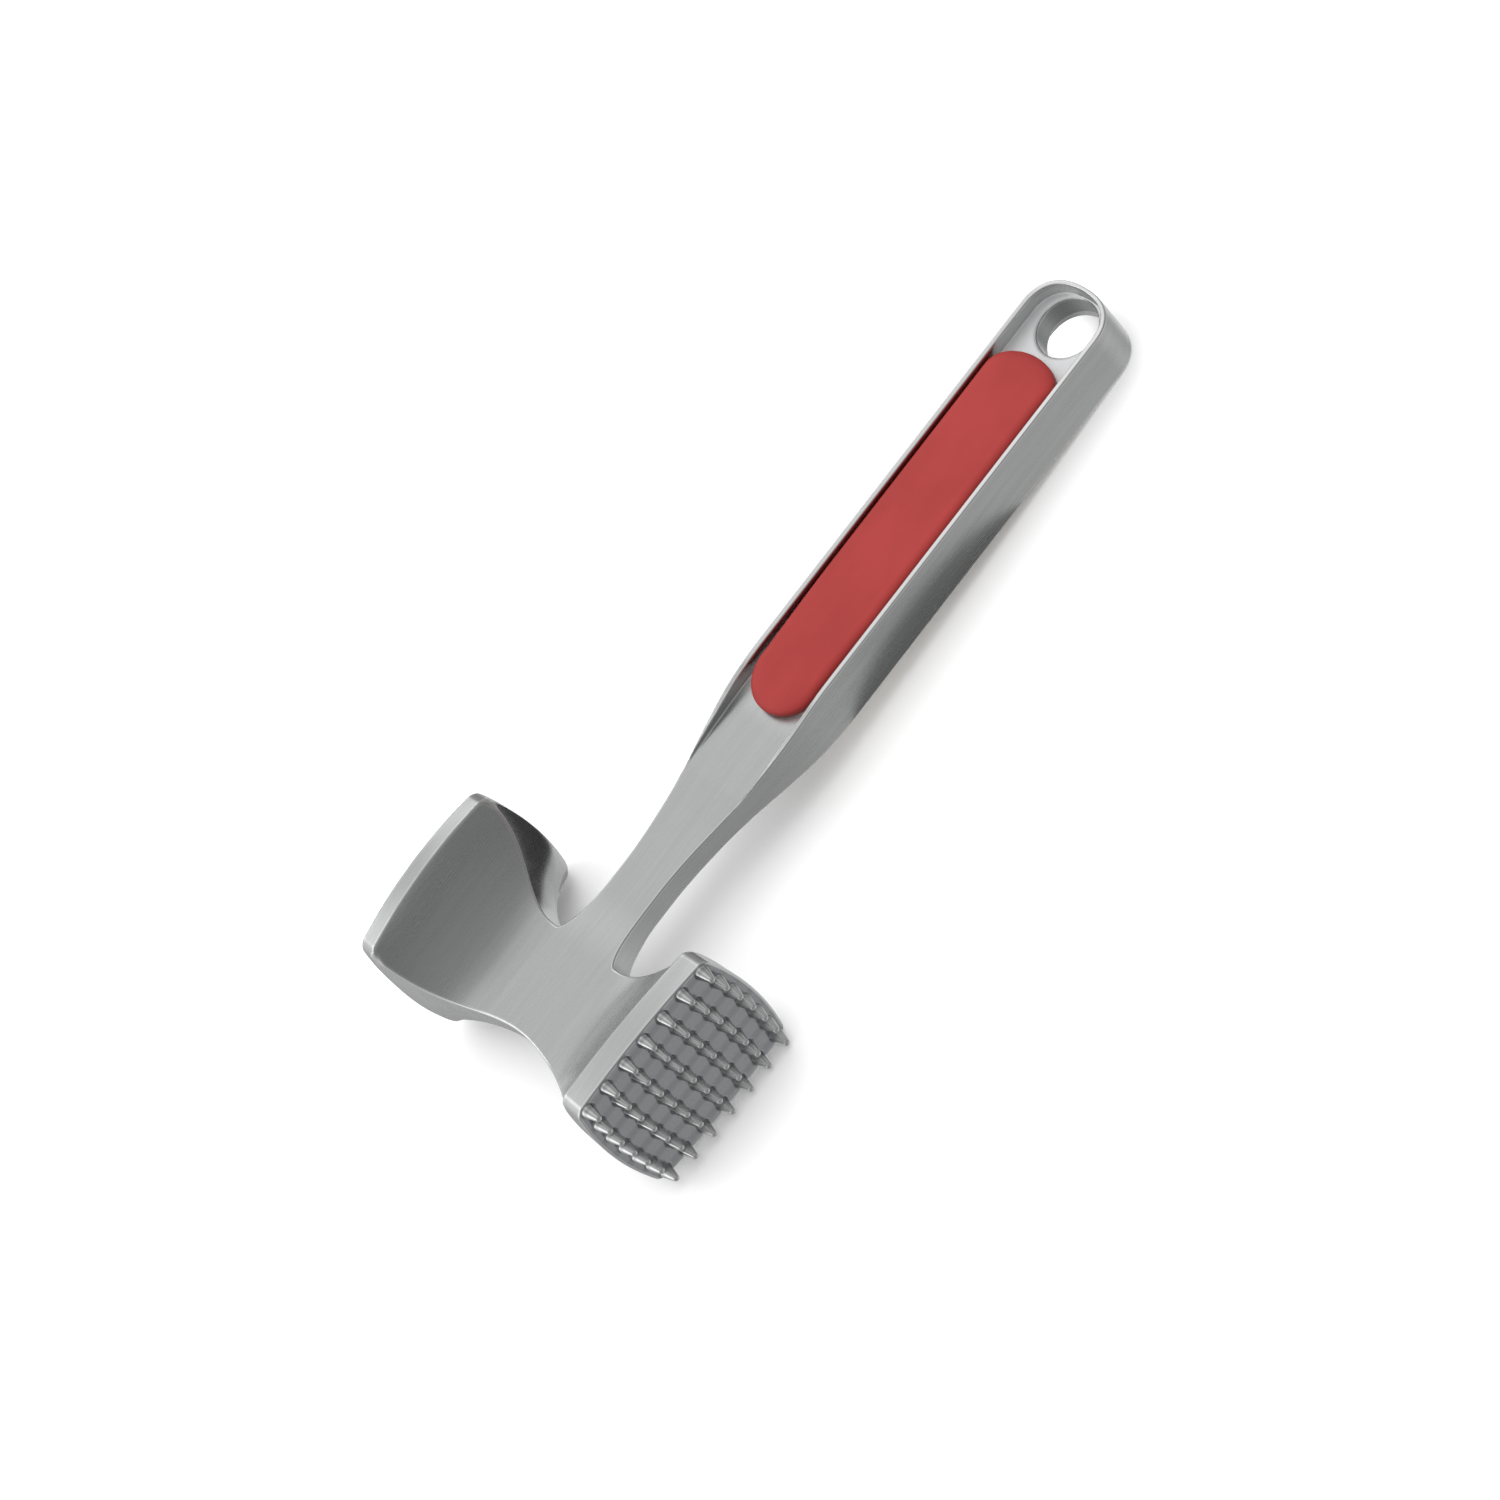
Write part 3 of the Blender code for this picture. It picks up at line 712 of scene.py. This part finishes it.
def metal_material():
    """Satin cast aluminium, brushed along +Y, with worn edges, a darker toothed face, and painted
    shade and light in its colour.
    """
    m = Material("satin_cast_aluminium")
    on = metal_zones(m)
    streaks = m.noise((2600.0, 70.0, 2600.0), 3.0, 0.6)
    bands = m.noise((420.0, 22.0, 420.0), 2.0)
    waves = m.noise((70.0, 45.0, 70.0), 1.0)
    grain = m.noise((3400.0, 3400.0, 3400.0), 2.0)
    pits = m.noise((1500.0, 1500.0, 1500.0), 4.0, 0.65)

    bend = m.nodes.new("ShaderNodeAttribute")
    bend.attribute_name = "convexity"
    worn = m.spread(bend.outputs["Fac"], *WORN_BEND)
    # painted shade in concave corners and fillets, weaker on the toothed face, none on the cones
    # and channel floors
    corner = m.product(m.spread(bend.outputs["Fac"], *SHADED_CORNER_BEND),
                       m.rest(m.math("MAXIMUM", on["cones"], on["floor"])),
                       m.spread(on["teeth"], 0.0, 1.0, 1.0, 0.85))
    # painted shade where the cones turn away from the camera
    grazing_shade = m.nodes.new("ShaderNodeLayerWeight").outputs["Facing"]
    grazing_shade = m.product(m.spread(grazing_shade, *GRAZING_SHADE), 0.95)

    color = m.blend(m.spread(streaks, 0.3, 0.7), shades(METAL_COLOR, 0.96), METAL_COLOR)
    color = m.blend(m.spread(bands, 0.3, 0.7, 0.0, 0.5), color, shades(METAL_COLOR, 0.90))
    ground = m.blend(m.spread(pits, 0.35, 0.65), shades(TOOTH_FACE_COLOR, 0.92), TOOTH_FACE_COLOR)
    # painted reflection of the teeth: darker stripes on the ground along each column
    ground = m.blend(m.product(on["columns"], 0.6), ground, shades(TOOTH_FACE_COLOR, 0.72))
    for share, over in (
            (on["teeth"], ground),
            (on["rim"], POLISHED_COLOR),
            # painted light and shade on the cones: a lighter copy of the metal, with painted dark
            # outlines
            (on["cones"], m.blend(grazing_shade, LIT_CONE_COLOR, PAINTED_SHADE_COLOR)),
            # painted shade around the tooth bases
            (m.product(on["tooth_base_shade"], 0.7), PAINTED_SHADE_COLOR),
            # painted light on the flare near the toothed end
            (m.product(on["flare"], 0.9), LIT_FLARE_COLOR),
            (on["floor"], CHANNEL_COLOR),
            # painted shade on the hole's wall
            (m.product(on["hole"], 0.6), PAINTED_SHADE_COLOR),
            (m.product(worn, 0.7), POLISHED_COLOR),
            # painted shade in concave corners
            (m.product(corner, 0.8), PAINTED_SHADE_COLOR)):
        color = m.blend(share, color, over)
    m.feed(m.shader.inputs["Base Color"], color)

    rough = m.spread(streaks, 0.3, 0.7, 0.23, 0.28)
    rough = m.math("ADD", rough, m.spread(bands, 0.3, 0.7, -0.02, 0.03))
    for share, change in (
            (on["teeth"], -0.06), (worn, -0.04), (on["floor"], 0.35), (on["cones"], -0.09)):
        rough = m.math("ADD", rough, m.product(share, change))
    m.feed(m.shader.inputs["Roughness"], rough)
    m.feed(m.shader.inputs["Metallic"], m.rest(m.product(on["floor"], 0.18)))

    normal = m.bump(waves, 0.0001)
    normal = m.bump(m.product(streaks, m.rest(on["teeth"])), 0.000006, normal)
    normal = m.bump(grain, 0.000003, normal)
    normal = m.bump(m.product(pits, on["teeth"]), 0.000012, normal)
    m.feed(m.shader.inputs["Normal"], normal)
    return m.material


def red_material():
    """Soft red elastomer with a fine moulded grain and a faint bloom."""
    m = Material("red_elastomer")
    grain = m.noise((3000.0, 3000.0, 3000.0), 3.0, 0.6)
    bloom = m.noise((60.0, 35.0, 60.0), 3.0)
    color = m.blend(m.spread(bloom, 0.3, 0.7), RED_DARK_COLOR, RED_COLOR)
    color = m.blend(m.spread(grain, 0.35, 0.65, 0.0, 0.25), color, RED_DARK_COLOR)
    m.feed(m.shader.inputs["Base Color"], color)
    m.feed(m.shader.inputs["Roughness"], m.spread(grain, 0.3, 0.7, 0.50, 0.62))
    m.shader.inputs["Specular IOR Level"].default_value = 0.3
    m.shader.inputs["Sheen Weight"].default_value = 0.02
    m.shader.inputs["Sheen Tint"].default_value = (1.0, 0.75, 0.7, 1.0)
    m.feed(m.shader.inputs["Normal"], m.bump(grain, 0.00002))
    return m.material


def film_material():
    """Cloudy adhesive film, with small bubbles."""
    m = Material("adhesive_film")
    cloud = m.noise((400.0, 400.0, 400.0), 3.0)
    bubbles = m.noise((1800.0, 1800.0, 1800.0), 1.0)
    color = m.blend(m.spread(cloud, 0.3, 0.7), FILM_DARK_COLOR, FILM_COLOR)
    m.feed(m.shader.inputs["Base Color"], color)
    m.feed(m.shader.inputs["Roughness"], m.spread(bubbles, 0.35, 0.65, 0.3, 0.6))
    m.feed(m.shader.inputs["Normal"], m.bump(m.spread(bubbles, 0.6, 0.7), 0.00003))
    return m.material


# ---------------------------------------------------------------- floor, light and camera

CAMERA_PLACE = Vector((0.8163, -0.0167, 1.0227))
CAMERA_BACK = Vector((0.6224, -0.0715, 0.7794))
CAMERA_UP = Vector((-0.4432, 0.7885, 0.4263))
CAMERA_LENS = 121.05
SENSOR_WIDTH = 36.0
FLOOR_SIZE = 8.0
FLOOR_COLOR = (0.97, 0.97, 0.97, 1.0)
FLOOR_GAP = 0.0001
THROUGH_HOLE = Vector((-0.012, 0.2165, -0.0090))     # where the camera sees the floor in the hole
LIFT = (0.004, 0.016, 0.72, 0.04)                    # from and to these distances and strengths
REST_HEAD_X = 0.03               # the flat end lies below -x, the toothed end above x
REST_BUTT_Y = 0.15
REST_ROUNDS = 8


def rest_plane(obj):
    """Normal and a point of the plane that it lies on, by both ends of its head and its butt."""
    points = np.empty(len(obj.data.vertices) * 3)
    obj.data.vertices.foreach_get("co", points)
    points = points.reshape(-1, 3)
    groups = (points[points[:, 0] < -REST_HEAD_X], points[points[:, 0] > REST_HEAD_X],
              points[points[:, 1] > REST_BUTT_Y])
    normal = np.array((0.0, 0.0, 1.0))
    for _ in range(REST_ROUNDS):
        a, b, c = (group[np.argmin(group @ normal)] for group in groups)
        normal = np.cross(b - a, c - a)
        normal /= np.linalg.norm(normal)
    return Vector(normal), Vector(a)


def lift_floor(material, shader):
    """Painted light: a faint glow over the whole floor, much stronger where the floor shows through
    the hanging hole.
    """
    nodes, links = material.node_tree.nodes, material.node_tree.links
    apart = nodes.new("ShaderNodeVectorMath")
    apart.operation = "DISTANCE"
    links.new(nodes.new("ShaderNodeNewGeometry").outputs["Position"], apart.inputs[0])
    apart.inputs[1].default_value = HEAD_MIDDLE + THROUGH_HOLE
    spot = nodes.new("ShaderNodeMapRange")
    spot.interpolation_type = "SMOOTHSTEP"
    links.new(apart.outputs["Value"], spot.inputs["Value"])
    for name, value in zip(("From Min", "From Max", "To Min", "To Max"), LIFT):
        spot.inputs[name].default_value = value
    shader.inputs["Emission Color"].default_value = WHITE
    links.new(spot.outputs["Result"], shader.inputs["Emission Strength"])


def make_floor(casting):
    """A matt pale floor just under the mallet, left out of the metal's reflections."""
    normal, place = rest_plane(casting)
    bpy.ops.mesh.primitive_plane_add(size=FLOOR_SIZE)
    floor = bpy.context.object
    floor.name = "floor"
    floor.rotation_mode = "QUATERNION"
    floor.rotation_quaternion = Vector((0.0, 0.0, 1.0)).rotation_difference(normal)
    floor.location = HEAD_MIDDLE + place - normal * FLOOR_GAP
    material = bpy.data.materials.new("pale_floor")
    material.use_nodes = True
    shader = material.node_tree.nodes["Principled BSDF"]
    shader.inputs["Base Color"].default_value = FLOOR_COLOR
    shader.inputs["Roughness"].default_value = 0.9
    shader.inputs["Specular IOR Level"].default_value = 0.0
    lift_floor(material, shader)
    floor.data.materials.append(material)
    floor.visible_glossy = False


def make_camera():
    data = bpy.data.cameras.new("camera")
    data.sensor_width = SENSOR_WIDTH
    data.lens = CAMERA_LENS
    camera = bpy.data.objects.new("camera", data)
    bpy.context.scene.collection.objects.link(camera)
    back = CAMERA_BACK.normalized()
    right = CAMERA_UP.cross(back).normalized()
    up = back.cross(right)
    turn = Matrix((right, up, back)).transposed().to_4x4()
    camera.matrix_world = Matrix.Translation(HEAD_MIDDLE + CAMERA_PLACE) @ turn
    bpy.context.scene.camera = camera


# Soft glows of the studio around the mallet: direction, how narrow each is, and its strength.
AMBIENT = 0.20
GLOWS = (
    ((-0.38, 0.0, 0.92), 8.0, 0.11),
    ((-0.25, 0.0, 0.97), 14.0, 0.33),
    ((-0.92, 0.0, 0.38), 6.0, 0.12),
    ((-0.99, 0.0, -0.10), 10.0, 0.40),
    ((-0.66, -0.20, 0.72), 100.0, 0.22),
    ((-0.66, -0.45, 0.60), 25.0, 1.25),
    ((-0.70, 0.33, 0.63), 25.0, 0.88),
    ((-0.35, 0.92, 0.10), 8.0, 0.20),
    ((-0.35, -0.92, 0.20), 9.0, 1.15),
    ((0.40, 0.0, 0.90), 3.0, 0.11),
    ((0.60, 0.10, -0.79), 4.0, 0.09),
    ((0.60, 0.45, -0.65), 10.0, 0.34),
    ((0.60, -0.25, -0.76), 14.0, 0.05),
    ((-0.45, -0.65, -0.60), 4.0, 0.34),
    ((-0.50, 0.50, -0.70), 20.0, 0.65),
    ((0.15, 0.75, -0.65), 9.0, 0.22),
)
FILL = 0.55                      # even light that only matt surfaces catch
BACKDROP = 1.2                   # what the camera sees behind everything, whiter than white
KEY_DIRECTION = Vector((-0.04, 0.10, 0.99))
KEY_DISTANCE = 1.6
KEY_AIM = Vector((0.0, 0.09, 0.0))
KEY_SIZE = 1.4
KEY_POWER = 11.0
FLAG_CORNERS = 48
FLAGS = (                        # middle, reach along x and y, and how bright each card looks
    (Vector((0.014, 0.136, -0.0150)), (0.0145, 0.038), 0.16),
    (Vector((-0.043, 0.061, -0.0200)), (0.034, 0.027), 0.05),
)


def make_world():
    """A studio as soft glows by direction, and plain white behind the scene."""
    world = bpy.data.worlds.new("studio")
    world.use_nodes = True
    nodes, links = world.node_tree.nodes, world.node_tree.links
    background = nodes["Background"]
    direction = nodes.new("ShaderNodeTexCoord").outputs["Generated"]

    def math_node(operation, first, second):
        node = nodes.new("ShaderNodeMath")
        node.operation = operation
        for socket, value in zip(node.inputs, (first, second)):
            if isinstance(value, bpy.types.NodeSocket):
                links.new(value, socket)
            else:
                socket.default_value = value
        return node.outputs[0]

    total = AMBIENT
    for centre, narrow, strength in GLOWS:
        dot = nodes.new("ShaderNodeVectorMath")
        dot.operation = "DOT_PRODUCT"
        links.new(direction, dot.inputs[0])
        dot.inputs[1].default_value = Vector(centre).normalized()
        away = math_node("SUBTRACT", dot.outputs["Value"], 1.0)
        glow = math_node("EXPONENT", math_node("MULTIPLY", away, narrow), 0.0)
        total = math_node("ADD", math_node("MULTIPLY", glow, strength), total)
    ray = nodes.new("ShaderNodeLightPath").outputs
    total = math_node("ADD", total, math_node("MULTIPLY", ray["Is Diffuse Ray"], FILL))
    backdrop = math_node("MULTIPLY", ray["Is Camera Ray"], BACKDROP)
    strength = math_node("MAXIMUM", total, backdrop)
    background.inputs["Color"].default_value = WHITE
    links.new(strength, background.inputs["Strength"])
    world.cycles.sampling_method = "NONE"
    bpy.context.scene.world = world
    bpy.context.scene.view_settings.view_transform = "Standard"


def make_key_light():
    """A large soft light straight above the mallet, kept out of the metal's reflections."""
    data = bpy.data.lights.new("key", "AREA")
    data.size = KEY_SIZE
    data.energy = KEY_POWER
    light = bpy.data.objects.new("key", data)
    bpy.context.scene.collection.objects.link(light)
    direction = KEY_DIRECTION.normalized()
    light.location = HEAD_MIDDLE + KEY_AIM + direction * KEY_DISTANCE
    light.rotation_mode = "QUATERNION"
    light.rotation_quaternion = direction.to_track_quat("Z", "Y")
    light.visible_glossy = False


def make_flag(number, centre, reach, glow):
    """A small dark card near the floor, seen only in the metal's reflections: a painted reflection
    of shade on the floor.
    """
    turn = np.linspace(0.0, 2.0 * np.pi, FLAG_CORNERS, endpoint=False)
    rim = [centre + Vector((reach[0] * math.cos(a), reach[1] * math.sin(a), 0.0)) for a in turn]
    name = f"flag_{number}"
    mesh = bpy.data.meshes.new(name)
    mesh.from_pydata(rim, [], [list(range(len(rim)))])
    flag = bpy.data.objects.new(name, mesh)
    flag.location = HEAD_MIDDLE
    bpy.context.scene.collection.objects.link(flag)
    material = bpy.data.materials.new(name)
    material.use_nodes = True
    shader = material.node_tree.nodes["Principled BSDF"]
    shader.inputs["Base Color"].default_value = BLACK
    shader.inputs["Specular IOR Level"].default_value = 0.0
    shader.inputs["Emission Color"].default_value = WHITE
    shader.inputs["Emission Strength"].default_value = glow
    flag.data.materials.append(material)
    flag.visible_camera = False
    flag.visible_diffuse = False
    flag.visible_shadow = False


# ---------------------------------------------------------------- assembly

def main():
    casting = make_casting()
    casting.data.materials.append(metal_material())
    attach(casting, BODY)
    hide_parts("casting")
    red = red_material()
    for name, side in (("front_inlay", 1.0), ("rear_inlay", -1.0)):
        pad = make_pad(name + "_pad", side)
        pad.data.materials.append(red)
        pad.visible_diffuse = False      # keeps the channel's floor and walls free of red light
        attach(pad, BODY)
        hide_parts(name)
    film = film_material()
    for name in ("front_adhesive_film", "rear_adhesive_film"):
        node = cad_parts[name]
        node.data.materials.clear()
        node.data.materials.append(film)
    make_floor(casting)
    make_world()
    make_key_light()
    for number, flag in enumerate(FLAGS):
        make_flag(number, *flag)
    make_camera()


main()
